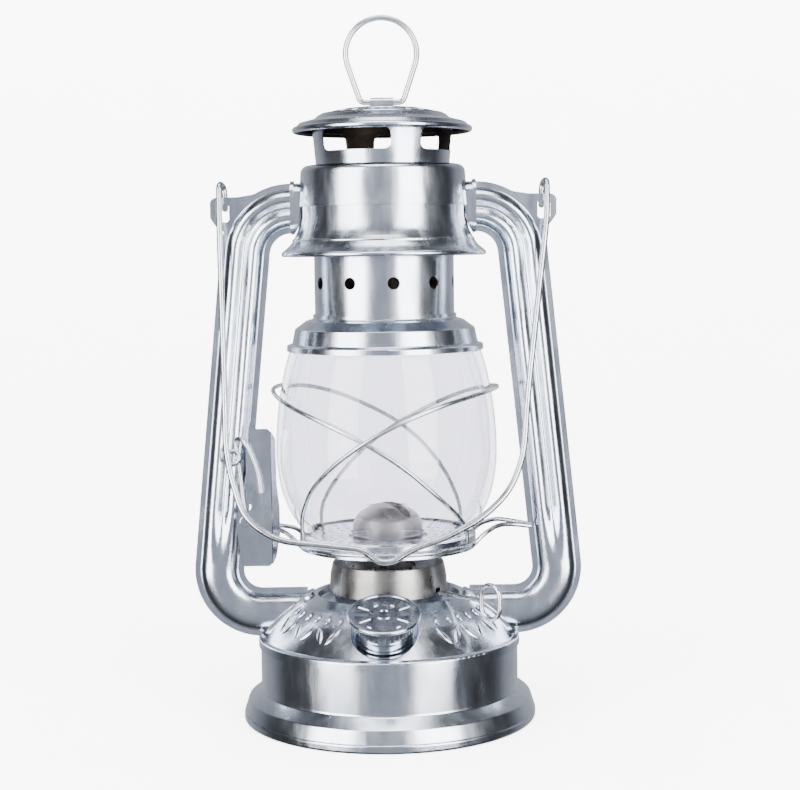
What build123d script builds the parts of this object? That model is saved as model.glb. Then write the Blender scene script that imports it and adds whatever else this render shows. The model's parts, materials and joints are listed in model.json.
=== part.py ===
from build123d import *
import os
from math import acos, atan2, cos, degrees, hypot, radians, sin, tan

# A tubular hot-blast oil lantern. Millimetres, +Z up, -Y is the front with the filler cap.
# The origin is the centre of the foot, on the surface that the lantern stands on.

# ---- driving dimensions ----
sheet = 0.8                # tin-plate wall of the tank, burner and foot
thin_sheet = 0.7           # tin-plate wall of the drum, chimney and side tubes
running_gap = 0.05         # radial clearance of a wire or pin in its hole

foot_radius = 58.5
foot_height = 3.6
tank_radius = 51.5         # outside of the tank's side wall
tank_side_top = 31.0
bead_radius = tank_radius + sheet
tank_floor_z = 5.0
dome_rim_radius = 28.6     # where the dome drops into the trough round the burner
dome_rim_z = 50.4
trough_z = 46.6
burner_hole_radius = 21.6

filler_x = -1.5            # middle of the filler cap's top face
filler_y = -42.0
filler_z = 49.9
filler_tilt = 20.0         # lean towards the front, degrees
filler_depth = 16.0        # cap's top face to the floor of the pocket
filler_pocket_radius = 13.0
neck_radius = 9.0
neck_wall = 1.0
neck_top = -3.4            # below the cap's top face
cap_radius = 14.1
cap_disc = 1.6
cap_grip_radius = 10.9
cap_grip_bottom = -6.6
cap_skirt_radius = 10.2
cap_skirt_bottom = -15.2
cap_bore_radius = 9.5

wick_azimuth = -45.0       # the wick's width and the spindle run front-right to back-left
wick_width = 11.8
wick_thickness = 2.5
wick_bottom = 18.0
wick_top = 79.5
spindle_offset = 4.5       # spindle axis behind the wick's middle plane
spindle_z = 51.6
spindle_radius = 0.9
spindle_ring_middle = 51.0  # along the spindle from the burner's axis
star_wheel_radius = 3.1

plate_radius = 35.2
plate_z = 72.8             # underside of the globe plate
plate_skirt = 5.2
plate_hole_radius = 15.8
globe_wall = 1.8
globe_bottom = plate_z + sheet
globe_top = 148.5

chimney_radius = 27.6
chimney_bottom = 157.5
chimney_top = 198.5
hole_ring_z = 173.7
sleeve_radius = 26.4       # vent band inside the drum
vent_radius = 27.6         # vent band under the cap
cap_rim_radius = 35.4
drum_top = 219.5
drum_radius = 33.3
drum_joint_z = 203.6
drum_lip_radius = 40.4
drum_lip_z = 184.0
spring_wire = 0.6
spring_radius = 29.3
spring_turns = 5

tube_start_x = 36.35       # the side tubes leave the drum here
tube_start_z = 203.0
tube_top_bend = 18.5
tube_low_bend = 17.2
tube_lean = 5.8            # of the straight run from the vertical, degrees
tube_low_run = 18.0        # level run from the low bend into the dome
tube_groove_end_z = 84.0   # the groove down each face fades out between these heights
tube_plain_z = 62.0
tube_low_bend_z = 61.0
tube_half_width = 9.8
port_half_width = 7.2      # air ports between the drum and the tubes
port_half_depth = 4.6
seam_sheet = 0.7           # each half's share of the seam

slot_low = (60.7, 198.0)   # the bail slot in each ear, as x and z
slot_high = (65.9, 205.0)
pivot_z = 206.3            # middle of the bail's hooks
bail_lean = 17.0           # of the hanging bail towards the front, degrees
lever_pivot_x = -56.0
lever_pivot_z = 80.3
lever_plane_y = -8.4
bracket_back_y = -9.8
bail_wire = 1.2            # radii of the wires
ring_wire = 1.1
cage_wire = 0.9
guard_wire = 0.85
lever_wire = 0.9
lever_pin_radius = 1.2
ring_pivot_z = 243.9


def bend_radii(points):
    """The largest bend that each corner of a wire's route has room for."""
    radii = []
    for before, corner, after in zip(points, points[1:], points[2:]):
        run_in = Vector(*corner) - Vector(*before)
        run_out = Vector(*after) - Vector(*corner)
        half_turn = radians(run_in.get_angle(run_out)) / 2
        radii.append(0.45 * min(run_in.length, run_out.length) / tan(half_turn))
    return radii


def turned(radius, azimuth, z):
    """A point at a radius and an azimuth counted from +X towards +Y."""
    return (radius * cos(radians(azimuth)), radius * sin(radians(azimuth)), z)


# ---- foot and tank ----
with BuildPart() as base_rim:
    with BuildSketch(Plane.XZ):
        with Locations((foot_radius - 1.5, foot_height / 2)):
            RectangleRounded(3.0, foot_height, 1.0)
    revolve(axis=Axis.Z)

with BuildPart() as tank_side:
    with BuildSketch(Plane.XZ):
        with BuildLine():
            wall = FilletPolyline(
                (foot_radius - 0.3, foot_height),
                (56.6, 8.6),
                (tank_radius, 12.4),
                (tank_radius, tank_side_top),
                radius=1.2,
            )
            offset(wall, amount=sheet, side=Side.LEFT)
        make_face()
    revolve(axis=Axis.Z)
    with BuildSketch(Plane.XY):
        Circle(foot_radius)
    extrude(amount=foot_height, mode=Mode.SUBTRACT)

with BuildPart() as tank_bottom:
    with BuildSketch(Plane.XZ):
        with BuildLine():
            pan = Polyline((foot_radius - 3.0, 2.6), (50.0, 2.6), (47.5, tank_floor_z), (0, tank_floor_z))
            offset(pan, amount=sheet, side=Side.RIGHT)
        make_face()
    revolve(axis=Axis.Z)

filler_top = Plane(
    origin=(filler_x, filler_y, filler_z),
    x_dir=(1, 0, 0),
    z_dir=(0, -sin(radians(filler_tilt)), cos(radians(filler_tilt))),
)

with BuildLine() as dome_outline:
    FilletPolyline(
        (bead_radius, 29.6),
        (bead_radius, 32.8),
        (50.4, 33.4),
        (42.0, 42.0),
        (34.5, 47.5),
        (dome_rim_radius, dome_rim_z),
        (27.4, trough_z),
        (burner_hole_radius, trough_z),
        radius=[0.9, 0.9, 24.0, 12.0, 1.2, 0.9],
    )

# The tank's outside as one solid: it trims what stands on the dome.
with BuildPart() as dome_form:
    with BuildSketch(Plane.XZ):
        with BuildLine():
            add(dome_outline.line)
            Polyline(
                (burner_hole_radius, trough_z),
                (0, trough_z),
                (0, 24.0),
                (tank_radius - sheet - 0.1, 24.0),
                (tank_radius - sheet - 0.1, 29.6),
                (bead_radius, 29.6),
            )
        make_face()
    revolve(axis=Axis.Z)

# The pocket in the dome that the filler neck stands in.
with BuildPart() as filler_pocket:
    with BuildSketch(filler_top.offset(-filler_depth - sheet)):
        Circle(filler_pocket_radius + sheet)
    extrude(amount=filler_depth + 10)
    with BuildSketch(filler_top.offset(-filler_depth)):
        Circle(filler_pocket_radius)
    extrude(amount=filler_depth + 10, mode=Mode.SUBTRACT)
    with BuildSketch(filler_top.offset(-filler_depth - sheet)):
        Circle(neck_radius - neck_wall)
    extrude(amount=sheet, mode=Mode.SUBTRACT)
    add(dome_form.part, mode=Mode.INTERSECT)

with BuildPart() as tank_dome:
    with BuildSketch(Plane.XZ):
        with BuildLine():
            add(dome_outline.line)
            offset(amount=sheet, side=Side.LEFT)
        make_face()
    revolve(axis=Axis.Z)
    with BuildSketch(filler_top.offset(-filler_depth)):
        Circle(filler_pocket_radius + sheet / 2)
    extrude(amount=filler_depth + 10, mode=Mode.SUBTRACT)
    add(filler_pocket.part)

with BuildPart() as filler_neck:
    with BuildSketch(filler_top.offset(-filler_depth)):
        Circle(neck_radius)
        Circle(neck_radius - neck_wall, mode=Mode.SUBTRACT)
    extrude(amount=filler_depth + neck_top)

with BuildPart() as filler_gasket:
    with BuildSketch(filler_top.offset(neck_top + running_gap)):
        Circle(cap_bore_radius - 0.2)
        Circle(neck_radius - neck_wall - 0.6, mode=Mode.SUBTRACT)
    extrude(amount=-cap_disc - neck_top - 2 * running_gap)

with BuildPart() as filler_cap:
    with BuildSketch(filler_top.offset(-cap_disc)):
        Circle(cap_radius)
    extrude(amount=cap_disc)
    fillet(filler_cap.edges().filter_by(GeomType.CIRCLE), radius=0.75)
    with BuildSketch(filler_top.offset(cap_grip_bottom)):
        Circle(cap_grip_radius)
        with PolarLocations(cap_grip_radius + 0.25, 36):
            Circle(0.6, mode=Mode.SUBTRACT)
    extrude(amount=-cap_disc - cap_grip_bottom)
    with BuildSketch(filler_top.offset(cap_skirt_bottom)):
        Circle(cap_skirt_radius)
    extrude(amount=cap_grip_bottom - cap_skirt_bottom)
    for thread_turn in range(4):
        with BuildSketch(filler_top.offset(cap_skirt_bottom + 0.6 + 2.0 * thread_turn)):
            Circle(cap_skirt_radius + 0.4)
        extrude(amount=1.0)
    with BuildSketch(filler_top.offset(cap_skirt_bottom)):
        Circle(cap_bore_radius)
    extrude(amount=-cap_disc - cap_skirt_bottom, mode=Mode.SUBTRACT)
    with BuildSketch(filler_top.offset(-0.3)):
        Circle(cap_radius - 1.4)
    extrude(amount=0.3, mode=Mode.SUBTRACT)
    with BuildSketch(filler_top.offset(-0.3)):
        with PolarLocations(8.6, 12):
            Rectangle(4.6, 1.5)
        Circle(3.6)
        Circle(2.2, mode=Mode.SUBTRACT)
    extrude(amount=0.3)

# ---- burner ----
collar_top = 50.0
with BuildPart() as burner_collar:
    with BuildSketch(Plane.XY.offset(trough_z - 1.6)):
        Circle(burner_hole_radius)
        Circle(burner_hole_radius - 1.2, mode=Mode.SUBTRACT)
    extrude(amount=collar_top - trough_z + 1.6)

burner_across = Plane(
    origin=(0, 0, 0),
    x_dir=turned(1, wick_azimuth, 0),
    z_dir=(0, 0, 1),
)

with BuildPart() as burner_base:
    with BuildSketch(burner_across.offset(trough_z + 0.4)):
        Circle(burner_hole_radius - 1.4)
        Rectangle(wick_width + 1.8, wick_thickness + 1.7, mode=Mode.SUBTRACT)
    extrude(amount=sheet)
    with BuildSketch(Plane.XY.offset(trough_z - 2.6)):
        Circle(burner_hole_radius - 1.4)
        Circle(burner_hole_radius - 1.4 - sheet, mode=Mode.SUBTRACT)
    extrude(amount=3.0)

with BuildPart() as burner_body:
    with BuildSketch(Plane.XZ):
        with BuildLine():
            skirt = FilletPolyline(
                (23.8, 50.6),
                (23.1, 58.2),
                (22.2, 62.3),
                (14.6, 64.6),
                (14.3, 68.2),
                radius=0.9,
            )
            offset(skirt, amount=sheet, side=Side.LEFT)
        make_face()
    revolve(axis=Axis.Z)
    with BuildSketch(burner_across.offset(50.0)):
        with Locations((23.0, spindle_offset)):
            Rectangle(8.0, 3.0)
    extrude(amount=spindle_z - 50.0 + 1.9, mode=Mode.SUBTRACT)

with BuildPart() as burner_dome:
    for inset, dome_mode in ((0, Mode.ADD), (sheet, Mode.SUBTRACT)):
        with BuildSketch(Plane.XZ):
            with BuildLine():
                Polyline((0, 85.9 - inset), (0, 68.2), (14.3 - inset, 68.2), (14.0 - inset, 75.5))
                shoulder = TangentArc(
                    (14.0 - inset, 75.5),
                    (11.0 - inset, 81.9 - inset / 2),
                    tangent=(0, 1),
                )
                TangentArc(shoulder @ 1, (0, 85.9 - inset), tangent=shoulder % 1)
            make_face()
        revolve(axis=Axis.Z, mode=dome_mode)
    with BuildSketch(Plane.XZ):
        with Locations((14.4, 69.8), (14.4, 72.4)):
            Circle(0.85)
    revolve(axis=Axis.Z)
    with BuildSketch(burner_across.offset(78.4)):
        SlotOverall(24.0, 4.6)
    extrude(amount=10.0, mode=Mode.SUBTRACT)

with BuildPart() as wick_tube:
    with BuildSketch(burner_across.offset(44.0)):
        Rectangle(wick_width + 1.6, wick_thickness + 1.5)
        Rectangle(wick_width + 0.6, wick_thickness + 0.5, mode=Mode.SUBTRACT)
    extrude(amount=33.5)
    with BuildSketch(burner_across.offset(spindle_z - 3.6)):
        with Locations((-3.5, 2.0), (3.5, 2.0)):
            Rectangle(3.0, 1.4)
    extrude(amount=7.2, mode=Mode.SUBTRACT)

with BuildPart() as wick:
    with BuildSketch(burner_across.offset(wick_bottom)):
        RectangleRounded(wick_width, wick_thickness, 0.6)
    extrude(amount=wick_top - wick_bottom)

with BuildPart() as air_screen:
    with BuildSketch(burner_across.offset(56.0)):
        Circle(22.2)
        Rectangle(wick_width + 1.8, wick_thickness + 1.7, mode=Mode.SUBTRACT)
        with PolarLocations(11.5, 16):
            Circle(1.0, mode=Mode.SUBTRACT)
        with PolarLocations(15.0, 20):
            Circle(1.0, mode=Mode.SUBTRACT)
        with PolarLocations(18.5, 24):
            Circle(1.0, mode=Mode.SUBTRACT)
    extrude(amount=0.6)

spindle_along = Plane(
    origin=(0, 0, spindle_z),
    x_dir=(0, 0, 1),
    z_dir=turned(1, wick_azimuth, 0),
)

with BuildPart() as spindle_bracket:
    with BuildSketch(spindle_along.offset(15.0)):
        with Locations((56.0 - spindle_z - 3.4, -spindle_offset)):
            Rectangle(6.8, 5.0)
        with Locations((0, -spindle_offset)):
            Circle(spindle_radius + running_gap, mode=Mode.SUBTRACT)
    extrude(amount=sheet)

knob_plane = Plane(
    origin=burner_across.from_local_coords((spindle_ring_middle, spindle_offset, spindle_z)),
    x_dir=turned(1, wick_azimuth, 0),
    z_dir=turned(1, wick_azimuth + 90, 0),
)
knob_half_width = 4.7
knob_half_straight = 1.9

with BuildLine(knob_plane) as knob_route:
    Line((knob_half_width, -knob_half_straight), (knob_half_width, knob_half_straight))
    CenterArc((0, knob_half_straight), knob_half_width, 0, 180)
    Line((-knob_half_width, knob_half_straight), (-knob_half_width, -knob_half_straight))
    CenterArc((0, -knob_half_straight), knob_half_width, 180, 180)

with BuildPart() as wick_spindle:
    with BuildSketch(spindle_along.offset(-7.0)):
        with Locations((0, -spindle_offset)):
            Circle(spindle_radius)
    extrude(amount=spindle_ring_middle - knob_half_width + 7.0)
    knob_wire = knob_route.wire()
    with BuildSketch(Plane(knob_wire @ 0, z_dir=knob_wire % 0)):
        Circle(spindle_radius)
    sweep(path=knob_wire)

with BuildPart() as star_wheels:
    for wheel_middle in (-3.5, 3.5):
        with BuildSketch(spindle_along.offset(wheel_middle - 0.8)):
            with Locations((0, -spindle_offset)):
                Circle(star_wheel_radius)
                Circle(spindle_radius, mode=Mode.SUBTRACT)
                with PolarLocations(star_wheel_radius, 9):
                    Circle(0.55, mode=Mode.SUBTRACT)
        extrude(amount=1.6)

# ---- globe and its wire cage ----
with BuildPart() as globe_plate:
    with BuildSketch(Plane.XZ):
        with Locations((plate_radius - sheet / 2, globe_bottom - plate_skirt / 2)):
            Rectangle(sheet, plate_skirt)
        with Locations(((plate_hole_radius + plate_radius) / 2, plate_z + sheet / 2)):
            Rectangle(plate_radius - plate_hole_radius, sheet)
    revolve(axis=Axis.Z)
    with BuildSketch(Plane.XY.offset(plate_z)):
        for ring_radius, hole_count in ((19.0, 24), (22.5, 28), (26.0, 32), (29.5, 36)):
            with PolarLocations(ring_radius, hole_count):
                Circle(0.9)
    extrude(amount=sheet, mode=Mode.SUBTRACT)

with BuildPart() as globe:
    with BuildSketch(Plane.XZ):
        with BuildLine():
            foot_curve = TangentArc((33.4, globe_bottom), (36.2, 79.0), tangent=(0.36, 1))
            lower_curve = TangentArc(foot_curve @ 1, (41.8, 91.0), tangent=foot_curve % 1)
            belly = TangentArc(lower_curve @ 1, (43.9, 107.0), tangent=lower_curve % 1)
            upper_curve = TangentArc(belly @ 1, (39.9, 140.0), tangent=belly % 1)
            TangentArc(upper_curve @ 1, (37.2, globe_top), tangent=upper_curve % 1)
            offset(amount=globe_wall, side=Side.LEFT)
        make_face()
    revolve(axis=Axis.Z)


def wire_piece(points, radius):
    """One length of round wire bent along a route, with the largest bends that fit."""
    with BuildLine() as route:
        FilletPolyline(*points, radius=bend_radii(points))
    path = route.wire()
    with BuildPart() as wire:
        with BuildSketch(Plane(path @ 0, z_dir=path % 0)):
            Circle(radius)
        sweep(path=path)
    return wire


def cage_route(side, stations):
    """A guard wire's route from azimuths (counted from its high side to the front), radii and heights."""
    route = []
    for azimuth, radius, z in stations:
        angle = radians(azimuth)
        route.append((side * radius * cos(angle), -radius * sin(angle), z))
    return route


left_guard_stations = [
    (148, 36.6, 72.8),
    (143, 38.8, 78.0),
    (131, 42.5, 84.5),
    (117, 45.4, 92.5),
    (99, 45.2, 105.0),
    (80, 45.1, 114.6),
    (60, 45.3, 121.5),
    (40, 45.8, 126.5),
    (20, 45.4, 130.0),
    (-1, 45.4, 131.9),
    (-22, 45.4, 132.4),
    (-42, 45.7, 131.0),
    (-62, 46.1, 127.0),
    (-80, 45.4, 120.8),
    (-96, 45.1, 114.0),
    (-111, 45.2, 104.5),
    (-124, 44.6, 93.5),
    (-136, 41.5, 83.5),
    (-145, 38.6, 77.5),
    (-150, 36.6, 72.8),
]
right_guard_stations = [
    (153, 36.6, 72.8),
    (149, 38.6, 78.0),
    (141, 42.0, 86.0),
    (128, 45.8, 97.0),
    (113, 46.8, 107.5),
    (98, 47.1, 115.8),
    (82, 47.0, 122.6),
    (64, 46.1, 127.6),
    (44, 45.7, 130.6),
    (22, 45.2, 132.0),
    (0, 44.9, 132.0),
    (-22, 45.2, 130.9),
    (-44, 45.7, 127.4),
    (-64, 46.7, 121.6),
    (-82, 47.1, 114.2),
    (-99, 46.8, 105.2),
    (-115, 45.4, 94.0),
    (-128, 42.8, 84.8),
    (-138, 39.0, 78.2),
    (-143, 36.6, 72.8),
]
left_guard_wire = wire_piece(cage_route(-1, left_guard_stations), guard_wire)
right_guard_wire = wire_piece(cage_route(1, right_guard_stations), guard_wire)


def cross_wire_route(facing):
    """A wire from the lever bracket, round the plate's skirt, to the right side tube."""
    route = [(-53.0, facing * 3.6, 76.4), (-43.0, facing * 4.2, 76.4), (-37.4, facing * 11.6, 74.0)]
    for azimuth in range(157, 20, -22):
        route.append(turned(37.0, facing * azimuth, 70.6))
    route += [(37.6, facing * 13.6, 74.6), (43.8, facing * 8.0, 77.4), (50.0, facing * 4.4, 77.0)]
    route.append((57.0, facing * 2.6, 75.8))
    return route


front_cross_wire = wire_piece(cross_wire_route(-1), cage_wire)
rear_cross_wire = wire_piece(cross_wire_route(1), cage_wire)

# ---- chimney: it lifts as one, with the hood on the globe's rim ----
with BuildPart() as globe_hood:
    with BuildSketch(Plane.XZ):
        with BuildLine():
            hood = FilletPolyline(
                (38.9, 147.0),
                (38.9, 149.2),
                (36.8, 149.8),
                (35.6, 155.6),
                (31.2, 158.8),
                (28.4, 159.6),
                (28.4, 161.2),
                radius=0.5,
            )
            offset(hood, amount=thin_sheet, side=Side.LEFT)
        make_face()
    revolve(axis=Axis.Z)

with BuildPart() as chimney_tube:
    with BuildSketch(Plane.XY.offset(chimney_bottom)):
        Circle(chimney_radius)
        Circle(chimney_radius - thin_sheet, mode=Mode.SUBTRACT)
    extrude(amount=chimney_top - chimney_bottom)
    for hole in range(10):
        azimuth = -82.0 + 36.0 * hole
        with BuildSketch(Plane(origin=(0, 0, hole_ring_z), z_dir=turned(1, azimuth, 0))):
            Circle(2.4)
        extrude(amount=chimney_radius + 1, mode=Mode.SUBTRACT)

with BuildPart() as spring_seat:
    with BuildSketch(Plane.XY.offset(191.0)):
        Circle(31.0)
        Circle(chimney_radius + 0.05, mode=Mode.SUBTRACT)
    extrude(amount=sheet)

with BuildPart() as vent_band:
    with BuildSketch(Plane.XZ):
        with BuildLine():
            band = FilletPolyline(
                (sleeve_radius, 192.0),
                (sleeve_radius, 221.0),
                (vent_radius, 233.0),
                (vent_radius, 236.2),
                radius=4.0,
            )
            offset(band, amount=thin_sheet, side=Side.LEFT)
        make_face()
    revolve(axis=Axis.Z)
    for window in range(4):
        azimuth = -90.0 - 24.6 + 90.0 * window
        window_plane = Plane(
            origin=(0, 0, 228.8),
            x_dir=turned(1, azimuth + 90, 0),
            z_dir=turned(1, azimuth, 0),
        )
        with BuildSketch(window_plane):
            RectangleRounded(2 * vent_radius * sin(radians(31.5)), 8.4, 2.6)
        extrude(amount=vent_radius + 2, mode=Mode.SUBTRACT)

with BuildPart() as chimney_cap:
    with BuildSketch(Plane.XZ):
        with BuildLine():
            saucer = FilletPolyline(
                (cap_rim_radius - 1.2, 234.3),
                (32.6, 236.0),
                (26.8, 237.5),
                (25.2, 239.0),
                (14.7, 241.2),
                (9.0, 242.0),
                (0, 242.0),
                radius=0.8,
            )
            offset(saucer, amount=thin_sheet, side=Side.LEFT)
        make_face()
        with Locations((cap_rim_radius - 1.3, 233.3)):
            Circle(1.3)
        with Locations((15.6, 240.6), (23.6, 239.0)):
            Circle(0.7)
    revolve(axis=Axis.Z)

with BuildPart() as ring_bracket:
    with BuildSketch(Plane.YZ.offset(-4.6)):
        with Locations((0, 242.4)):
            Rectangle(10.0, 0.6)
        with Locations((0, (242.1 + ring_pivot_z) / 2)):
            Rectangle(3.9, ring_pivot_z - 242.1)
        with Locations((0, ring_pivot_z)):
            Circle(1.85)
            Circle(ring_wire + running_gap, mode=Mode.SUBTRACT)
    extrude(amount=9.2)

ring_bow_radius = 13.9
ring_bow_z = 262.7
ring_half_bar = 8.3
ring_drop = ring_bow_z - ring_pivot_z
ring_reach = hypot(ring_half_bar, ring_drop)
bow_start = degrees(acos(ring_bow_radius / ring_reach) - atan2(ring_drop, ring_half_bar))
with BuildLine(Plane.XZ) as ring_route:
    bow = CenterArc((0, ring_bow_z), ring_bow_radius, bow_start, 180 - 2 * bow_start)
    FilletPolyline(
        bow @ 1,
        (-ring_half_bar, ring_pivot_z),
        (ring_half_bar, ring_pivot_z),
        bow @ 0,
        radius=2.4,
    )

with BuildPart() as lifting_ring:
    ring_wire_route = ring_route.wire()
    with BuildSketch(Plane(ring_wire_route @ 0, z_dir=ring_wire_route % 0)):
        Circle(ring_wire)
    sweep(path=ring_wire_route)

# ---- drum: the air chamber that the chimney slides in ----
with BuildPart() as drum_cover:
    with BuildSketch(Plane.XZ):
        with BuildLine():
            cover = FilletPolyline(
                (drum_radius, drum_joint_z),
                (drum_radius - 1.1, drum_top),
                (sleeve_radius + 0.6, drum_top),
                radius=3.0,
            )
            offset(cover, amount=thin_sheet, side=Side.LEFT)
        make_face()
    revolve(axis=Axis.Z)
    with BuildSketch(Plane.YZ):
        with Locations((0, tube_start_z)):
            Ellipse(port_half_depth, port_half_width)
    extrude(amount=40, both=True, mode=Mode.SUBTRACT)

with BuildPart() as drum_skirt:
    with BuildSketch(Plane.XZ):
        with BuildLine():
            FilletPolyline(
                (drum_lip_radius - 0.4, 185.9),
                (36.5, 188.8),
                (32.7, 196.0),
                (32.2, 206.5),
                radius=[10.0, 20.0],
            )
            offset(amount=thin_sheet, side=Side.LEFT)
        make_face()
        with Locations((drum_lip_radius - 1.0, drum_lip_z + 1.0)):
            Circle(1.0)
        with Locations((35.4, 190.4)):
            Circle(0.6)
    revolve(axis=Axis.Z)
    with BuildSketch(Plane.YZ):
        with Locations((0, tube_start_z)):
            Ellipse(port_half_depth, port_half_width)
    extrude(amount=40, both=True, mode=Mode.SUBTRACT)

with BuildPart() as drum_floor:
    with BuildSketch(Plane.XY.offset(189.6)):
        Circle(34.2)
        Circle(chimney_radius + 0.8, mode=Mode.SUBTRACT)
    extrude(amount=sheet)

with BuildPart() as chimney_spring:
    spring_low = 191.8 + spring_wire + 0.1
    spring_high = drum_top - thin_sheet - spring_wire - 0.1
    with BuildLine(Plane.XY.offset(spring_low)):
        coil = Helix(
            pitch=(spring_high - spring_low) / spring_turns,
            height=spring_high - spring_low,
            radius=spring_radius,
        )
    with BuildSketch(Plane(coil @ 0, z_dir=coil % 0)):
        Circle(spring_wire)
    sweep(path=coil, is_frenet=True)

# The drum's outside as one solid: it trims the collars.
with BuildPart() as drum_form:
    with BuildSketch(Plane.XZ):
        with BuildLine():
            Polyline(
                (0, 190.0),
                (37.0, 190.0),
                (35.5, 192.2),
                (33.8, 197.0),
                (32.9, drum_joint_z - 0.1),
                (drum_radius + 0.06, drum_joint_z - 0.1),
                (drum_radius - 0.8, 216.5),
                (0, 216.5),
                close=True,
            )
        make_face()
    revolve(axis=Axis.Z)

def collar(side):
    """The flanged neck that joins a side tube to the drum."""
    with BuildPart() as neck:
        with BuildSketch(Plane.YZ.offset(side * 30.5)):
            with Locations((0, tube_start_z)):
                RectangleRounded(13.2, 19.6, 5.4)
        extrude(amount=side * (tube_start_x - 30.5))
        with BuildSketch(Plane.YZ.offset(side * (tube_start_x - 1.35))):
            with Locations((0, tube_start_z + 0.25)):
                RectangleRounded(14.6, 20.9, 6.0)
        extrude(amount=side * 1.35)
        with BuildSketch(Plane.YZ):
            with Locations((0, tube_start_z)):
                Ellipse(port_half_depth, port_half_width)
        extrude(amount=side * 40, mode=Mode.SUBTRACT)
        add(drum_form.part, mode=Mode.SUBTRACT)
    return neck


right_collar = collar(1)
left_collar = collar(-1)

# ---- side tubes: two pressed halves each, folded together along both edges ----
lean_sin = sin(radians(tube_lean))
lean_cos = cos(radians(tube_lean))
bend_centre = (tube_start_x, tube_start_z - tube_top_bend)
top_of_straight = (
    bend_centre[0] + tube_top_bend * lean_cos,
    bend_centre[1] + tube_top_bend * lean_sin,
)


def on_straight(z):
    """A point of the tube's straight run, as x and z."""
    return (top_of_straight[0] + (top_of_straight[1] - z) * lean_sin / lean_cos, z)


groove_end = on_straight(tube_groove_end_z)
plain_start = on_straight(tube_plain_z)

with BuildLine(Plane.XZ) as upper_run:
    CenterArc(bend_centre, tube_top_bend, 90, tube_lean - 90)
    Line(top_of_straight, groove_end)

with BuildLine(Plane.XZ) as lower_run:
    low_straight = Line(plain_start, on_straight(tube_low_bend_z))
    low_bend = JernArc(low_straight @ 1, (lean_sin, -lean_cos), tube_low_bend, -90 - tube_lean)
    Line(low_bend @ 1, low_bend @ 1 - Vector(tube_low_run, 0))


def tube_section(origin, direction, outer, inner):
    """Half a tube's wall: u is the tube's width away from the drum's axis, v is towards the front."""
    plane = Plane(
        origin=(origin[0], 0, origin[1]),
        x_dir=(-direction[1], 0, direction[0]),
        z_dir=(direction[0], 0, direction[1]),
    )
    with BuildSketch(plane) as section:
        with BuildLine():
            Polyline((-7.6, seam_sheet), (-tube_half_width, seam_sheet), (-tube_half_width, 0), inner[0])
            Spline(*inner)
            Polyline(inner[-1], (tube_half_width, 0), (tube_half_width, seam_sheet), (7.6, seam_sheet))
            Spline(*outer)
        make_face()
    return section


def both_sides(half_profile):
    """A profile given from the seam to the middle, continued as its mirror image."""
    return half_profile + [(-u, v) for u, v in reversed(half_profile[:-1])]


grooved_outer = both_sides([(7.6, 0.7), (6.6, 4.0), (4.0, 5.9), (1.6, 5.0), (0, 4.0)])
grooved_inner = both_sides([(6.9, 0), (5.9, 3.5), (3.8, 5.15), (1.6, 4.3), (0, 3.3)])[::-1]
plain_outer = both_sides([(7.6, 0.7), (6.9, 3.0), (5.0, 5.0), (2.6, 5.8), (0, 6.0)])
plain_inner = both_sides([(6.9, 0), (6.2, 2.6), (4.6, 4.3), (2.4, 5.1), (0, 5.3)])[::-1]

straight_run = (lean_sin, -lean_cos)
first_section = tube_section((tube_start_x, tube_start_z), (1, 0), grooved_outer, grooved_inner)
last_grooved = tube_section(groove_end, straight_run, grooved_outer, grooved_inner)
first_plain = tube_section(plain_start, straight_run, plain_outer, plain_inner)

with BuildPart() as right_tube_front:
    sweep(first_section.sketch, path=upper_run.wire())
    loft([last_grooved.sketch.face(), first_plain.sketch.face()])
    sweep(first_plain.sketch, path=lower_run.wire())
    add(dome_form.part, mode=Mode.SUBTRACT)
    with BuildSketch(Plane.XZ):
        with BuildLine():
            Polyline((44.0, 210.6), (52.0, 208.6), (57.0, 207.8), (66.0, 207.6))
            Spline((66.0, 207.6), (67.9, 206.4), (68.2, 204.5))
            Polyline(
                (68.2, 204.5),
                (68.2, 199.5),
                (66.0, 196.3),
                (62.8, 194.0),
                (62.0, 190.5),
                (58.0, 190.5),
                (44.0, 204.0),
                (44.0, 210.6),
            )
        make_face()
        with Locations(bend_centre):
            Circle(tube_top_bend + 8.4, mode=Mode.SUBTRACT)
        with Locations(((slot_low[0] + slot_high[0]) / 2, (slot_low[1] + slot_high[1]) / 2)):
            RectangleRounded(slot_high[0] - slot_low[0], slot_high[1] - slot_low[1], 1.2, mode=Mode.SUBTRACT)
    extrude(amount=seam_sheet)

with BuildPart() as right_tube_rear:
    mirror(right_tube_front.part, about=Plane.XZ)
with BuildPart() as left_tube_front:
    mirror(right_tube_front.part, about=Plane.YZ)
with BuildPart() as left_tube_rear:
    mirror(right_tube_rear.part, about=Plane.YZ)


# The right tube's outside as one solid: it trims what the tube passes through.
with BuildLine(Plane.XZ) as full_run:
    CenterArc(bend_centre, tube_top_bend, 90, tube_lean - 90)
    whole_straight = Line(top_of_straight, on_straight(tube_low_bend_z))
    whole_bend = JernArc(whole_straight @ 1, straight_run, tube_low_bend, -90 - tube_lean)
    Line(whole_bend @ 1, whole_bend @ 1 - Vector(tube_low_run + 6, 0))

with BuildPart() as right_tube_form:
    with BuildSketch(Plane(origin=(tube_start_x, 0, tube_start_z), x_dir=(0, 0, 1), z_dir=(1, 0, 0))):
        with BuildLine():
            Spline(*plain_outer)
            Line((-7.6, 0.7), (-7.6, -0.7))
            Spline(*[(u, -v) for u, v in plain_outer])
            Line((7.6, -0.7), (7.6, 0.7))
        make_face()
        Rectangle(2 * tube_half_width, 2 * seam_sheet)
    sweep(path=full_run.wire())

with BuildPart() as left_tube_form:
    mirror(right_tube_form.part, about=Plane.YZ)

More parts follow.
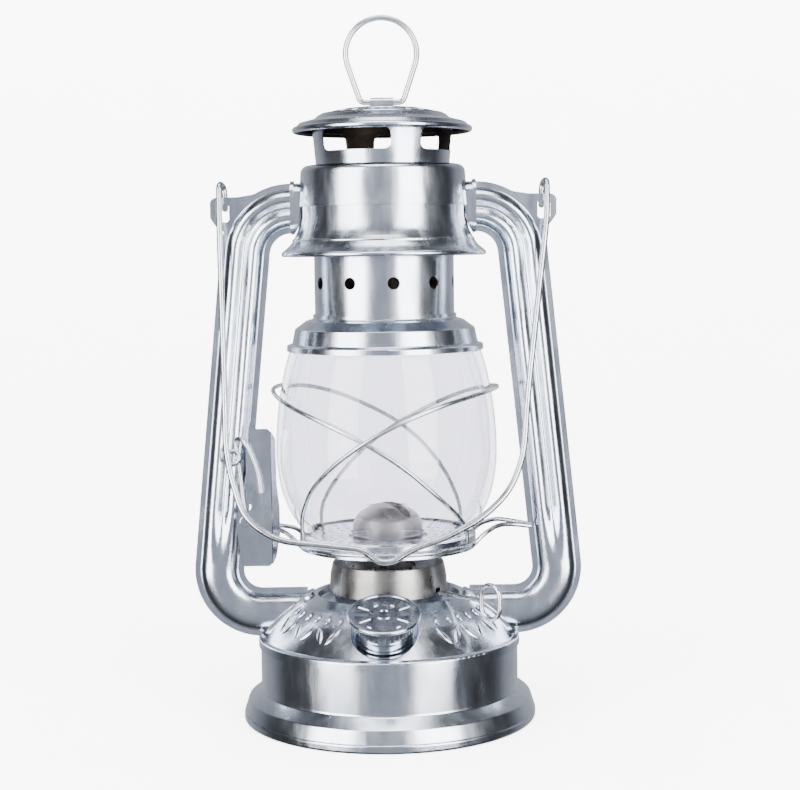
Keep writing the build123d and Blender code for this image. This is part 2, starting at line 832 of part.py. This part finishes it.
with BuildPart() as right_foot:
    with BuildSketch(Plane.XZ):
        with BuildLine():
            FilletPolyline(
                (52.0, 33.2),
                (42.8, 42.7),
                (35.0, 48.4),
                (27.5, 52.2),
                radius=[24.0, 18.0],
            )
            Polyline((27.5, 52.2), (20.0, 30.0), (52.0, 33.2))
        make_face()
    revolve(axis=Axis.Z)
    with BuildSketch(Plane(origin=(40.2, 0, 41.5), x_dir=(0.802, 0, -0.598), z_dir=(0.598, 0, 0.802))):
        RectangleRounded(27.2, 14.8, 5.0)
    extrude(amount=5.0, both=True, mode=Mode.INTERSECT)
    add(dome_form.part, mode=Mode.SUBTRACT)
    add(right_tube_form.part, mode=Mode.SUBTRACT)

with BuildPart() as left_foot:
    mirror(right_foot.part, about=Plane.YZ)

# ---- bail ----
bail_half_route = [
    (62.2, 2.9, 1.6),
    (62.4, 2.9, -2.9),
    (62.9, -6.6, -2.9),
    (64.4, -6.6, 2.9),
    (64.2, 8.0, 2.9),
]
bail_bow = [
    (54.5, 80.0, 2.9),
    (52.5, 103.0, 2.9),
    (47.0, 117.0, 2.9),
    (36.0, 127.5, 2.9),
    (22.0, 134.8, 2.9),
    (10.0, 138.8, 2.9),
    (2.0, 143.6, 2.9),
    (-3.0, 143.6, 2.9),
    (-9.0, 139.0, 2.9),
    (-20.0, 137.6, 2.9),
    (-42.0, 135.0, 2.9),
    (-54.0, 126.0, 2.9),
    (-60.8, 104.0, 2.9),
    (-61.6, 75.0, 2.9),
]
bail_other_half = [(-x, w, q) for x, w, q in reversed(bail_half_route)]
bail_sin = sin(radians(bail_lean))
bail_cos = cos(radians(bail_lean))
bail_route = [
    (x, -(w * bail_sin + q * bail_cos), pivot_z - w * bail_cos + q * bail_sin)
    for x, w, q in bail_half_route + bail_bow + bail_other_half
]
bail_handle = wire_piece(bail_route, bail_wire)

# ---- globe lift: bracket on the left tube, lever and pivot ----
with BuildPart() as lever_bracket:
    with BuildSketch(Plane.XZ.offset(-bracket_back_y)):
        with BuildLine():
            FilletPolyline(
                (-57.6, 62.5),
                (-45.6, 62.5),
                (-45.6, 117.0),
                (-53.6, 117.0),
                (-53.6, 84.5),
                (-59.2, 84.5),
                (-59.2, 76.0),
                radius=1.6,
                close=True,
            )
        make_face()
        with Locations((lever_pivot_x, lever_pivot_z)):
            Circle(lever_pin_radius, mode=Mode.SUBTRACT)
    extrude(amount=sheet)
    flange_plane = Plane(
        origin=(-45.6, bracket_back_y - 0.4, 0),
        x_dir=(0.654, 0.756, 0),
        z_dir=(0.756, -0.654, 0),
    )
    with BuildSketch(flange_plane):
        with BuildLine():
            Polyline(
                (-0.3, 63.5),
                (1.6, 66.0),
                (3.8, 75.0),
                (3.8, 85.0),
                (2.4, 95.0),
                (2.0, 113.0),
                (-0.3, 116.0),
                close=True,
            )
        make_face()
    extrude(amount=sheet)

with BuildPart() as bracket_clip:
    with BuildSketch(Plane.XY.offset(87.0)):
        with Locations((-54.7, (bracket_back_y - seam_sheet) / 2)):
            Rectangle(1.4, -bracket_back_y - seam_sheet)
    extrude(amount=23.0)
    with BuildSketch(Plane.XY.offset(87.0)):
        with Locations((-53.0, bracket_back_y + 0.4)):
            Rectangle(4.0, 0.8)
    extrude(amount=23.0)
    add(left_tube_form.part, mode=Mode.SUBTRACT)
    add(left_tube_front.part, mode=Mode.SUBTRACT)

with BuildPart() as lever_pivot:
    with BuildSketch(Plane.XZ.offset(-bracket_back_y - 3.6)):
        with Locations((lever_pivot_x, lever_pivot_z)):
            Circle(lever_pin_radius)
    extrude(amount=3.6 + sheet)
    with BuildSketch(Plane.XZ.offset(-bracket_back_y + sheet)):
        with Locations((lever_pivot_x, lever_pivot_z)):
            Circle(2.2)
    extrude(amount=0.7, taper=25)
    with BuildSketch(Plane.XZ.offset(-bracket_back_y - 3.4)):
        with Locations((lever_pivot_x, lever_pivot_z)):
            Circle(2.2)
    extrude(amount=0.7)

lever_route = [
    (-47.6, -2.6, 74.4),
    (-47.6, lever_plane_y, 74.4),
    (-54.4, lever_plane_y, 79.2),
]
lever_arm_route = [
    (-56.2, lever_plane_y, 82.2),
    (-57.8, lever_plane_y, 100.0),
    (-59.3, lever_plane_y, 110.0),
    (-59.0, -8.8, 113.6),
    (-55.2, -12.4, 112.5),
    (-50.2, -12.4, 99.5),
    (-49.3, -12.4, 92.0),
]
lever_bar = wire_piece(lever_route, lever_wire)
lever_arm = wire_piece(lever_arm_route, lever_wire)

with BuildPart() as lift_lever:
    with BuildSketch(Plane.XZ.offset(-lever_plane_y - 1.0)):
        with Locations((lever_pivot_x, lever_pivot_z)):
            Circle(2.6)
    extrude(amount=2.0)
    add(lever_bar.part)
    add(lever_arm.part)
    with Locations(Pos(-60.6, lever_plane_y - 0.6, 105.5)):
        Torus(2.6, lever_wire, rotation=(90, 0, 0))
    with BuildSketch(Plane.XZ.offset(-lever_plane_y - 3.0)):
        with Locations((lever_pivot_x, lever_pivot_z)):
            Circle(lever_pin_radius + running_gap)
    extrude(amount=6.0, mode=Mode.SUBTRACT)

pieces = {
    "base_rim": base_rim,
    "tank_side": tank_side,
    "tank_bottom": tank_bottom,
    "tank_dome": tank_dome,
    "filler_neck": filler_neck,
    "filler_gasket": filler_gasket,
    "filler_cap": filler_cap,
    "burner_collar": burner_collar,
    "burner_base": burner_base,
    "burner_body": burner_body,
    "burner_dome": burner_dome,
    "wick_tube": wick_tube,
    "wick": wick,
    "air_screen": air_screen,
    "spindle_bracket": spindle_bracket,
    "wick_spindle": wick_spindle,
    "star_wheels": star_wheels,
    "globe_plate": globe_plate,
    "globe": globe,
    "left_guard_wire": left_guard_wire,
    "right_guard_wire": right_guard_wire,
    "front_cross_wire": front_cross_wire,
    "rear_cross_wire": rear_cross_wire,
    "globe_hood": globe_hood,
    "chimney_tube": chimney_tube,
    "spring_seat": spring_seat,
    "chimney_spring": chimney_spring,
    "vent_band": vent_band,
    "chimney_cap": chimney_cap,
    "ring_bracket": ring_bracket,
    "lifting_ring": lifting_ring,
    "drum_cover": drum_cover,
    "drum_skirt": drum_skirt,
    "drum_floor": drum_floor,
    "left_collar": left_collar,
    "right_collar": right_collar,
    "left_tube_front": left_tube_front,
    "left_tube_rear": left_tube_rear,
    "right_tube_front": right_tube_front,
    "right_tube_rear": right_tube_rear,
    "left_foot": left_foot,
    "right_foot": right_foot,
    "bail_handle": bail_handle,
    "lever_bracket": lever_bracket,
    "bracket_clip": bracket_clip,
    "lever_pivot": lever_pivot,
    "lift_lever": lift_lever,
}

os.makedirs("parts", exist_ok=True)
for piece_name, piece in pieces.items():
    piece.part.label = piece_name
    export_step(piece.part, "parts/" + piece_name + ".step")
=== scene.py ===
import json
from math import cos, pi, radians, sin

import bmesh
import bpy
from mathutils import Euler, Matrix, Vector


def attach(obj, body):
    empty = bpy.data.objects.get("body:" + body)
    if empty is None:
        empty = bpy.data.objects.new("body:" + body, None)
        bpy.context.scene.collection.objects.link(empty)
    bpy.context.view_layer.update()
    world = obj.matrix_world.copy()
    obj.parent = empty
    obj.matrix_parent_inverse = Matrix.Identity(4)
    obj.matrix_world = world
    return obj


# A tubular oil lantern. Metres, +Z up, -Y is the front with the filler cap.
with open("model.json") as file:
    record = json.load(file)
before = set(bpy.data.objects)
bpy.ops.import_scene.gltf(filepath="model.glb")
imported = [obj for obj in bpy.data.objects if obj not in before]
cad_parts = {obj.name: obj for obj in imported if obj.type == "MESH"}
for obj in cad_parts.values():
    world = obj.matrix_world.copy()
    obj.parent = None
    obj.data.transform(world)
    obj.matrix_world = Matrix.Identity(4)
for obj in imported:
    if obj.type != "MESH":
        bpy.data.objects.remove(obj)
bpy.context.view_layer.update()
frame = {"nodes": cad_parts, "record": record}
nodes = frame["nodes"]

BRIGHT_TIN_DARK = (0.50, 0.54, 0.61)
BRIGHT_TIN_LIGHT = (0.66, 0.70, 0.77)
BRIGHT_TIN_SMOOTH = 0.16
BRIGHT_TIN_ROUGH = 0.28
SHEET_WAVINESS = 0.25
# Roughness of the painted shade inside the flue and under the hood and cap.
SHADED_FLUE_ROUGHNESS = 0.55
FLUE_NODES = ("chimney_tube", "vent_band", "chimney_cap", "globe_hood")

# The leaves stand on cones that follow the sheet: radius, height and fall of the cone, and the leaf's size.
RELIEF_HEIGHT = 0.0006
RELIEF_SINK = 0.0001
DOME_LEAF_CONE = (0.0438, 0.04015, radians(45))
DOME_LEAF_SIZE = (0.0085, 0.0030)
DOME_LEAF_TURN = radians(28)
DOME_STUD_CONE = (0.0385, 0.0450, radians(38))
DOME_STUD_SIZE = (0.0042, 0.0024)
DOME_LEAVES = 44
FILLER_CLEARANCE = radians(24)
TUBE_CLEARANCE = radians(15)
CAP_LEAF_CONE = (0.0195, 0.2401, radians(12))
CAP_LEAF_SIZE = (0.0052, 0.0018)
CAP_LEAF_TURN = radians(40)
CAP_LEAVES = 30

FLOOR_GLOW = 2.6
FLOOR_RADIUS = 1.6
FLOOR_COVE = 0.5
FLOOR_COVE_STEPS = 12
FLOOR_SIDES = 96
BACKDROP_HEIGHT = 2.4

LIGHTS_AIM = Vector((0, 0, 0.13))
CAMERA_PLACE = (0.00563, -0.6814, 0.1887)
CAMERA_LENS = 77.4
CAMERA_PITCH = radians(90 - 5.03)
CAMERA_ROLL = radians(-0.76)


# ---- materials ----
def new_material(name):
    """A node material with its shader, ready for textures."""
    material = bpy.data.materials.new(name)
    material.use_nodes = True
    tree = material.node_tree
    return material, tree, tree.nodes["Principled BSDF"]


def position_texture(tree, kind, scale, stretch=(1, 1, 1), **settings):
    """A procedural texture fixed to the object's own position."""
    coordinates = tree.nodes.new("ShaderNodeTexCoord")
    mapping = tree.nodes.new("ShaderNodeMapping")
    mapping.inputs["Scale"].default_value = stretch
    texture = tree.nodes.new(kind)
    texture.inputs["Scale"].default_value = scale
    for socket, value in settings.items():
        texture.inputs[socket].default_value = value
    tree.links.new(coordinates.outputs["Object"], mapping.inputs["Vector"])
    tree.links.new(mapping.outputs["Vector"], texture.inputs["Vector"])
    return texture


def ramp_between(tree, factor, low, high, low_at=0.3, high_at=0.7):
    """Two colours spread over a texture's values."""
    ramp = tree.nodes.new("ShaderNodeValToRGB")
    ramp.color_ramp.elements[0].position = low_at
    ramp.color_ramp.elements[0].color = (*low, 1)
    ramp.color_ramp.elements[1].position = high_at
    ramp.color_ramp.elements[1].color = (*high, 1)
    tree.links.new(factor, ramp.inputs["Fac"])
    return ramp.outputs["Color"]


def value_between(tree, factor, low, high):
    """A texture's values spread between two numbers."""
    spread = tree.nodes.new("ShaderNodeMapRange")
    spread.inputs["From Min"].default_value = 0.3
    spread.inputs["From Max"].default_value = 0.7
    spread.inputs["To Min"].default_value = low
    spread.inputs["To Max"].default_value = high
    tree.links.new(factor, spread.inputs["Value"])
    return spread.outputs["Result"]


def add_bump(tree, shader, height, strength, distance):
    """Relief too fine for the mesh."""
    bump = tree.nodes.new("ShaderNodeBump")
    bump.inputs["Strength"].default_value = strength
    bump.inputs["Distance"].default_value = distance
    tree.links.new(height, bump.inputs["Height"])
    tree.links.new(bump.outputs["Normal"], shader.inputs["Normal"])


def metal(name, dark, light, smooth, rough, waviness):
    """Tin plate: cloudy colour, streaky roughness and slightly wavy reflections."""
    material, tree, shader = new_material(name)
    shader.inputs["Metallic"].default_value = 1.0
    clouds = position_texture(tree, "ShaderNodeTexNoise", 55.0, Detail=5.0, Roughness=0.6)
    tree.links.new(ramp_between(tree, clouds.outputs["Fac"], dark, light), shader.inputs["Base Color"])
    streaks = position_texture(tree, "ShaderNodeTexNoise", 260.0, (1, 1, 0.25), Detail=4.0)
    tree.links.new(value_between(tree, streaks.outputs["Fac"], smooth, rough), shader.inputs["Roughness"])
    waves = position_texture(tree, "ShaderNodeTexNoise", 32.0, Detail=1.0)
    add_bump(tree, shader, waves.outputs["Fac"], waviness, 0.002)
    return material


def facing_flue(tree):
    """1 on surfaces that face the lantern's axis, or that face down close to it, else 0. This is the mask
    for the painted shade on the flue parts.
    """
    coordinates = tree.nodes.new("ShaderNodeTexCoord")
    flatten = tree.nodes.new("ShaderNodeVectorMath")
    flatten.operation = "MULTIPLY"
    flatten.inputs[1].default_value = (1, 1, 0)
    lower = tree.nodes.new("ShaderNodeVectorMath")
    lower.operation = "ADD"
    lower.inputs[1].default_value = (0, 0, 0.012)
    facing = tree.nodes.new("ShaderNodeVectorMath")
    facing.operation = "DOT_PRODUCT"
    inward = tree.nodes.new("ShaderNodeMath")
    inward.operation = "LESS_THAN"
    inward.inputs[1].default_value = 0.0
    tree.links.new(coordinates.outputs["Object"], flatten.inputs[0])
    tree.links.new(flatten.outputs["Vector"], lower.inputs[0])
    tree.links.new(lower.outputs["Vector"], facing.inputs[0])
    tree.links.new(coordinates.outputs["Normal"], facing.inputs[1])
    tree.links.new(facing.outputs["Value"], inward.inputs[0])
    return inward.outputs["Value"]


def mix_on_flue_side(tree, socket, inward):
    """Puts a mix between a linked socket and its source. The mix's B shows on the flue side."""
    mix = tree.nodes.new("ShaderNodeMix")
    mix.data_type = "RGBA"
    tree.links.new(inward, mix.inputs["Factor"])
    tree.links.new(socket.links[0].from_socket, mix.inputs["A"])
    tree.links.new(mix.outputs["Result"], socket)
    return mix


def bright_tin(name):
    """The clean tin plate of the tank, drum and tubes."""
    return metal(
        name, BRIGHT_TIN_DARK, BRIGHT_TIN_LIGHT, BRIGHT_TIN_SMOOTH, BRIGHT_TIN_ROUGH, SHEET_WAVINESS
    )


def shaded_flue_tin():
    """Bright tin outside, with painted shade on the flue side: a dark brown, mottled colour on faces toward
    the axis and on undersides close to it.
    """
    material = bright_tin("shaded_flue_tin")
    tree = material.node_tree
    shader = tree.nodes["Principled BSDF"]
    inward = facing_flue(tree)
    shade_mottle = position_texture(tree, "ShaderNodeTexNoise", 90.0, Detail=6.0)
    # Painted shade: near-black brown, mottled by noise, stands in for the shadow inside the flue and under
    # the hood and cap.
    painted_shade = ramp_between(tree, shade_mottle.outputs["Fac"], (0.012, 0.010, 0.009), (0.07, 0.055, 0.045))
    colour_mix = mix_on_flue_side(tree, shader.inputs["Base Color"], inward)
    tree.links.new(painted_shade, colour_mix.inputs["B"])
    # The painted shade also gets a duller roughness.
    roughness_mix = mix_on_flue_side(tree, shader.inputs["Roughness"], inward)
    roughness_mix.inputs["B"].default_value = (SHADED_FLUE_ROUGHNESS, SHADED_FLUE_ROUGHNESS, SHADED_FLUE_ROUGHNESS, 1)
    return material


def glass_material():
    """Clear blown glass with a grey-violet tint and soft waves."""
    material, tree, shader = new_material("globe_glass")
    shader.inputs["Base Color"].default_value = (0.58, 0.58, 0.63, 1)
    shader.inputs["Transmission Weight"].default_value = 1.0
    shader.inputs["IOR"].default_value = 1.46
    smears = position_texture(tree, "ShaderNodeTexNoise", 40.0, (1, 1, 0.3), Detail=3.0)
    tree.links.new(value_between(tree, smears.outputs["Fac"], 0.0, 0.05), shader.inputs["Roughness"])
    waves = position_texture(tree, "ShaderNodeTexNoise", 18.0, Detail=0.0)
    add_bump(tree, shader, waves.outputs["Fac"], 0.15, 0.001)
    return material


def cotton_material():
    """Woven wick: fine crossing ribs, off-white."""
    material, tree, shader = new_material("wick_cotton")
    shader.inputs["Roughness"].default_value = 0.9
    shader.inputs["Sheen Weight"].default_value = 0.3
    weave = position_texture(tree, "ShaderNodeTexChecker", 1400.0)
    fluff = position_texture(tree, "ShaderNodeTexNoise", 900.0, Detail=4.0)
    colour = ramp_between(tree, fluff.outputs["Fac"], (0.62, 0.57, 0.47), (0.86, 0.82, 0.72))
    tree.links.new(colour, shader.inputs["Base Color"])
    add_bump(tree, shader, weave.outputs["Fac"], 0.5, 0.0003)
    return material


def gasket_material():
    """Dark cork-rubber seal."""
    material, tree, shader = new_material("gasket_rubber")
    shader.inputs["Roughness"].default_value = 0.75
    grain = position_texture(tree, "ShaderNodeTexNoise", 600.0, Detail=5.0)
    colour = ramp_between(tree, grain.outputs["Fac"], (0.03, 0.025, 0.02), (0.09, 0.075, 0.06))
    tree.links.new(colour, shader.inputs["Base Color"])
    add_bump(tree, shader, grain.outputs["Fac"], 0.4, 0.0003)
    return material


tin = bright_tin("bright_tin")
burner_tin = metal("burner_tin", (0.15, 0.145, 0.14), (0.30, 0.29, 0.28), 0.24, 0.38, SHEET_WAVINESS)
wire_steel = metal("tinned_wire", (0.46, 0.48, 0.51), (0.66, 0.68, 0.72), 0.20, 0.32, 0.08)
# Tin with painted shade on the inner faces and undersides of the flue parts.
shaded_flue = shaded_flue_tin()
cotton = cotton_material()
gasket = gasket_material()
glass = glass_material()

SLOT_MATERIALS = {
    "tin": tin,
    "burner_metal": burner_tin,
    "wire": wire_steel,
    "glass": glass,
    "cotton": cotton,
    "gasket": gasket,
}
for subpart in frame["record"]["subparts"]:
    node = nodes[subpart["node"]]
    node.data.materials.clear()
    node.data.materials.append(SLOT_MATERIALS[subpart["material_slot"]])
# The flue parts get the tin with painted shade inside and underneath.
for flue_node in FLUE_NODES:
    nodes[flue_node].data.materials[0] = shaded_flue


# ---- pressed relief on the sheet-metal parts ----
def new_piece(name, mesh, body, material):
    """A finished mesh piece that rides on a body."""
    piece = bpy.data.objects.new(name, mesh)
    bpy.context.scene.collection.objects.link(piece)
    mesh.materials.append(material)
    for face in mesh.polygons:
        face.use_smooth = True
    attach(piece, body)
    return piece


def relief_leaf(builder, place, length, width):
    """A low pillow shape on a surface. place(along, across, up) gives its points; up is out of the sheet."""
    steps_along = 14
    steps_across = 8
    rows = []
    for i in range(steps_along + 1):
        share = i / steps_along
        half = width / 2 * sin(pi * share) ** 0.7 if 0 < i < steps_along else width * 0.04
        row = []
        for j in range(steps_across + 1):
            side = 2 * j / steps_across - 1
            profile = sin(pi * min(max(share, 0.02), 0.98)) ** 0.5
            up = RELIEF_HEIGHT * (1 - side * side) * profile - RELIEF_SINK
            row.append(builder.verts.new(place((share - 0.5) * length, side * half, up)))
        rows.append(row)
    for below, above in zip(rows, rows[1:]):
        for j in range(steps_across):
            builder.faces.new((below[j], below[j + 1], above[j + 1], above[j]))


def cone_place(middle_radius, middle_z, slope, azimuth, turn):
    """Places a leaf on a cone about the lantern's axis. slope is the fall outwards, turn spins the leaf."""
    def place(along, across, up):
        outward = along * cos(turn) - across * sin(turn)
        round_way = along * sin(turn) + across * cos(turn)
        radius = middle_radius + outward * cos(slope) + up * sin(slope)
        z = middle_z - outward * sin(slope) + up * cos(slope)
        angle = azimuth + round_way / middle_radius
        return (radius * cos(angle), radius * sin(angle), z)
    return place


def dome_relief():
    """A generic border of leaves and studs pressed into the tank's dome, left and right of the filler."""
    builder = bmesh.new()
    for step in range(DOME_LEAVES):
        azimuth = radians(-90 + 360 * (step + 0.5) / DOME_LEAVES)
        from_front = abs((azimuth + radians(90) + pi) % (2 * pi) - pi)
        from_side = min(abs(azimuth % pi), abs(azimuth % pi - pi))
        if from_front < FILLER_CLEARANCE or from_side < TUBE_CLEARANCE:
            continue
        turn = DOME_LEAF_TURN if step % 2 else -DOME_LEAF_TURN
        relief_leaf(builder, cone_place(*DOME_LEAF_CONE, azimuth, turn), *DOME_LEAF_SIZE)
        relief_leaf(builder, cone_place(*DOME_STUD_CONE, azimuth, 0), *DOME_STUD_SIZE)
    mesh = bpy.data.meshes.new("dome_relief")
    builder.to_mesh(mesh)
    new_piece("dome_relief", mesh, "lantern", tin)


def cap_relief():
    """A generic ring of leaves round the chimney cap."""
    builder = bmesh.new()
    for step in range(CAP_LEAVES):
        azimuth = radians(360 * step / CAP_LEAVES)
        turn = CAP_LEAF_TURN if step % 2 else -CAP_LEAF_TURN
        relief_leaf(builder, cone_place(*CAP_LEAF_CONE, azimuth, turn), *CAP_LEAF_SIZE)
    mesh = bpy.data.meshes.new("cap_relief")
    builder.to_mesh(mesh)
    new_piece("cap_relief", mesh, "chimney", tin)


dome_relief()
cap_relief()


# ---- stage, light and camera ----
def stage_floor():
    """A plain pale floor that curves up into a round backdrop, out of the way of reflections."""
    flat_radius = FLOOR_RADIUS - FLOOR_COVE
    profile = [(0.0005, 0.0), (0.1, 0.0), (0.4, 0.0), (flat_radius, 0.0)]
    for step in range(1, FLOOR_COVE_STEPS + 1):
        angle = radians(90 * step / FLOOR_COVE_STEPS)
        profile.append((flat_radius + FLOOR_COVE * sin(angle), FLOOR_COVE - FLOOR_COVE * cos(angle)))
    profile.append((FLOOR_RADIUS, BACKDROP_HEIGHT))
    builder = bmesh.new()
    rings = []
    for radius, z in profile:
        ring = []
        for side in range(FLOOR_SIDES):
            angle = 2 * pi * side / FLOOR_SIDES
            ring.append(builder.verts.new((radius * cos(angle), radius * sin(angle), z)))
        rings.append(ring)
    builder.faces.new(rings[0])
    for inner, outer in zip(rings, rings[1:]):
        for side in range(FLOOR_SIDES):
            after = (side + 1) % FLOOR_SIDES
            builder.faces.new((inner[side], outer[side], outer[after], inner[after]))
    mesh = bpy.data.meshes.new("floor")
    builder.to_mesh(mesh)
    for face in mesh.polygons:
        face.use_smooth = True
    floor = bpy.data.objects.new("floor", mesh)
    bpy.context.scene.collection.objects.link(floor)
    material, tree, shader = new_material("floor_paper")
    shader.inputs["Roughness"].default_value = 0.9
    shader.inputs["Emission Color"].default_value = (1, 1, 1, 1)
    shader.inputs["Emission Strength"].default_value = FLOOR_GLOW
    grain = position_texture(tree, "ShaderNodeTexNoise", 30.0, Detail=4.0)
    colour = ramp_between(tree, grain.outputs["Fac"], (0.90, 0.90, 0.90), (0.93, 0.93, 0.93))
    tree.links.new(colour, shader.inputs["Base Color"])
    mesh.materials.append(material)
    floor.visible_glossy = False


def softbox(name, azimuth, distance, height, width, tall, watts):
    """A rectangular area light aimed at the lantern's middle. Azimuth counts from the front to the right."""
    light = bpy.data.lights.new(name, "AREA")
    light.shape = "RECTANGLE"
    light.size = width
    light.size_y = tall
    light.energy = watts
    lamp = bpy.data.objects.new(name, light)
    bpy.context.scene.collection.objects.link(lamp)
    lamp.location = (distance * sin(radians(azimuth)), -distance * cos(radians(azimuth)), height)
    aim = LIGHTS_AIM - lamp.location
    lamp.rotation_euler = aim.to_track_quat("-Z", "Y").to_euler()
    lamp.visible_camera = False


def studio_world():
    """What the metal mirrors: dim at the sides and straight up, brighter in front and behind."""
    world = bpy.data.worlds.new("studio")
    bpy.context.scene.world = world
    world.use_nodes = True
    tree = world.node_tree
    background = tree.nodes["Background"]
    coordinates = tree.nodes.new("ShaderNodeTexCoord")
    parts = tree.nodes.new("ShaderNodeSeparateXYZ")
    spread = tree.nodes.new("ShaderNodeMapRange")
    spread.inputs["From Min"].default_value = -1.0
    spread.inputs["From Max"].default_value = 1.0
    ramp = tree.nodes.new("ShaderNodeValToRGB")
    ramp.color_ramp.elements[0].position = 0.02
    ramp.color_ramp.elements[0].color = (0.50, 0.53, 0.60, 1)
    ramp.color_ramp.elements[1].position = 0.95
    ramp.color_ramp.elements[1].color = (0.62, 0.65, 0.70, 1)
    for position, shade in ((0.22, 0.17), (0.45, 0.04), (0.66, 0.08), (0.80, 0.42)):
        stop = ramp.color_ramp.elements.new(position)
        stop.color = (shade * 0.94, shade * 0.98, shade * 1.08, 1)
    tree.links.new(coordinates.outputs["Generated"], parts.inputs["Vector"])
    tree.links.new(parts.outputs["Y"], spread.inputs["Value"])
    tree.links.new(spread.outputs["Result"], ramp.inputs["Fac"])
    tree.links.new(ramp.outputs["Color"], background.inputs["Color"])


def photo_camera():
    """The camera at the photograph's height, distance and tilt."""
    camera = bpy.data.cameras.new("camera")
    camera.lens = CAMERA_LENS
    camera.sensor_width = 36.0
    camera.clip_start = 0.01
    holder = bpy.data.objects.new("camera", camera)
    bpy.context.scene.collection.objects.link(holder)
    holder.location = CAMERA_PLACE
    holder.rotation_mode = "QUATERNION"
    level = Euler((CAMERA_PITCH, 0, 0)).to_quaternion()
    roll = Euler((0, 0, CAMERA_ROLL)).to_quaternion()
    holder.rotation_quaternion = level @ roll
    bpy.context.scene.camera = holder


stage_floor()
studio_world()
softbox("left_softbox", -45, 1.0, 0.30, 0.62, 1.1, 26.0)
softbox("right_softbox", 38, 1.0, 0.30, 0.60, 1.1, 26.0)
softbox("top_softbox", 0, 0.35, 1.3, 0.8, 0.8, 14.0)
photo_camera()
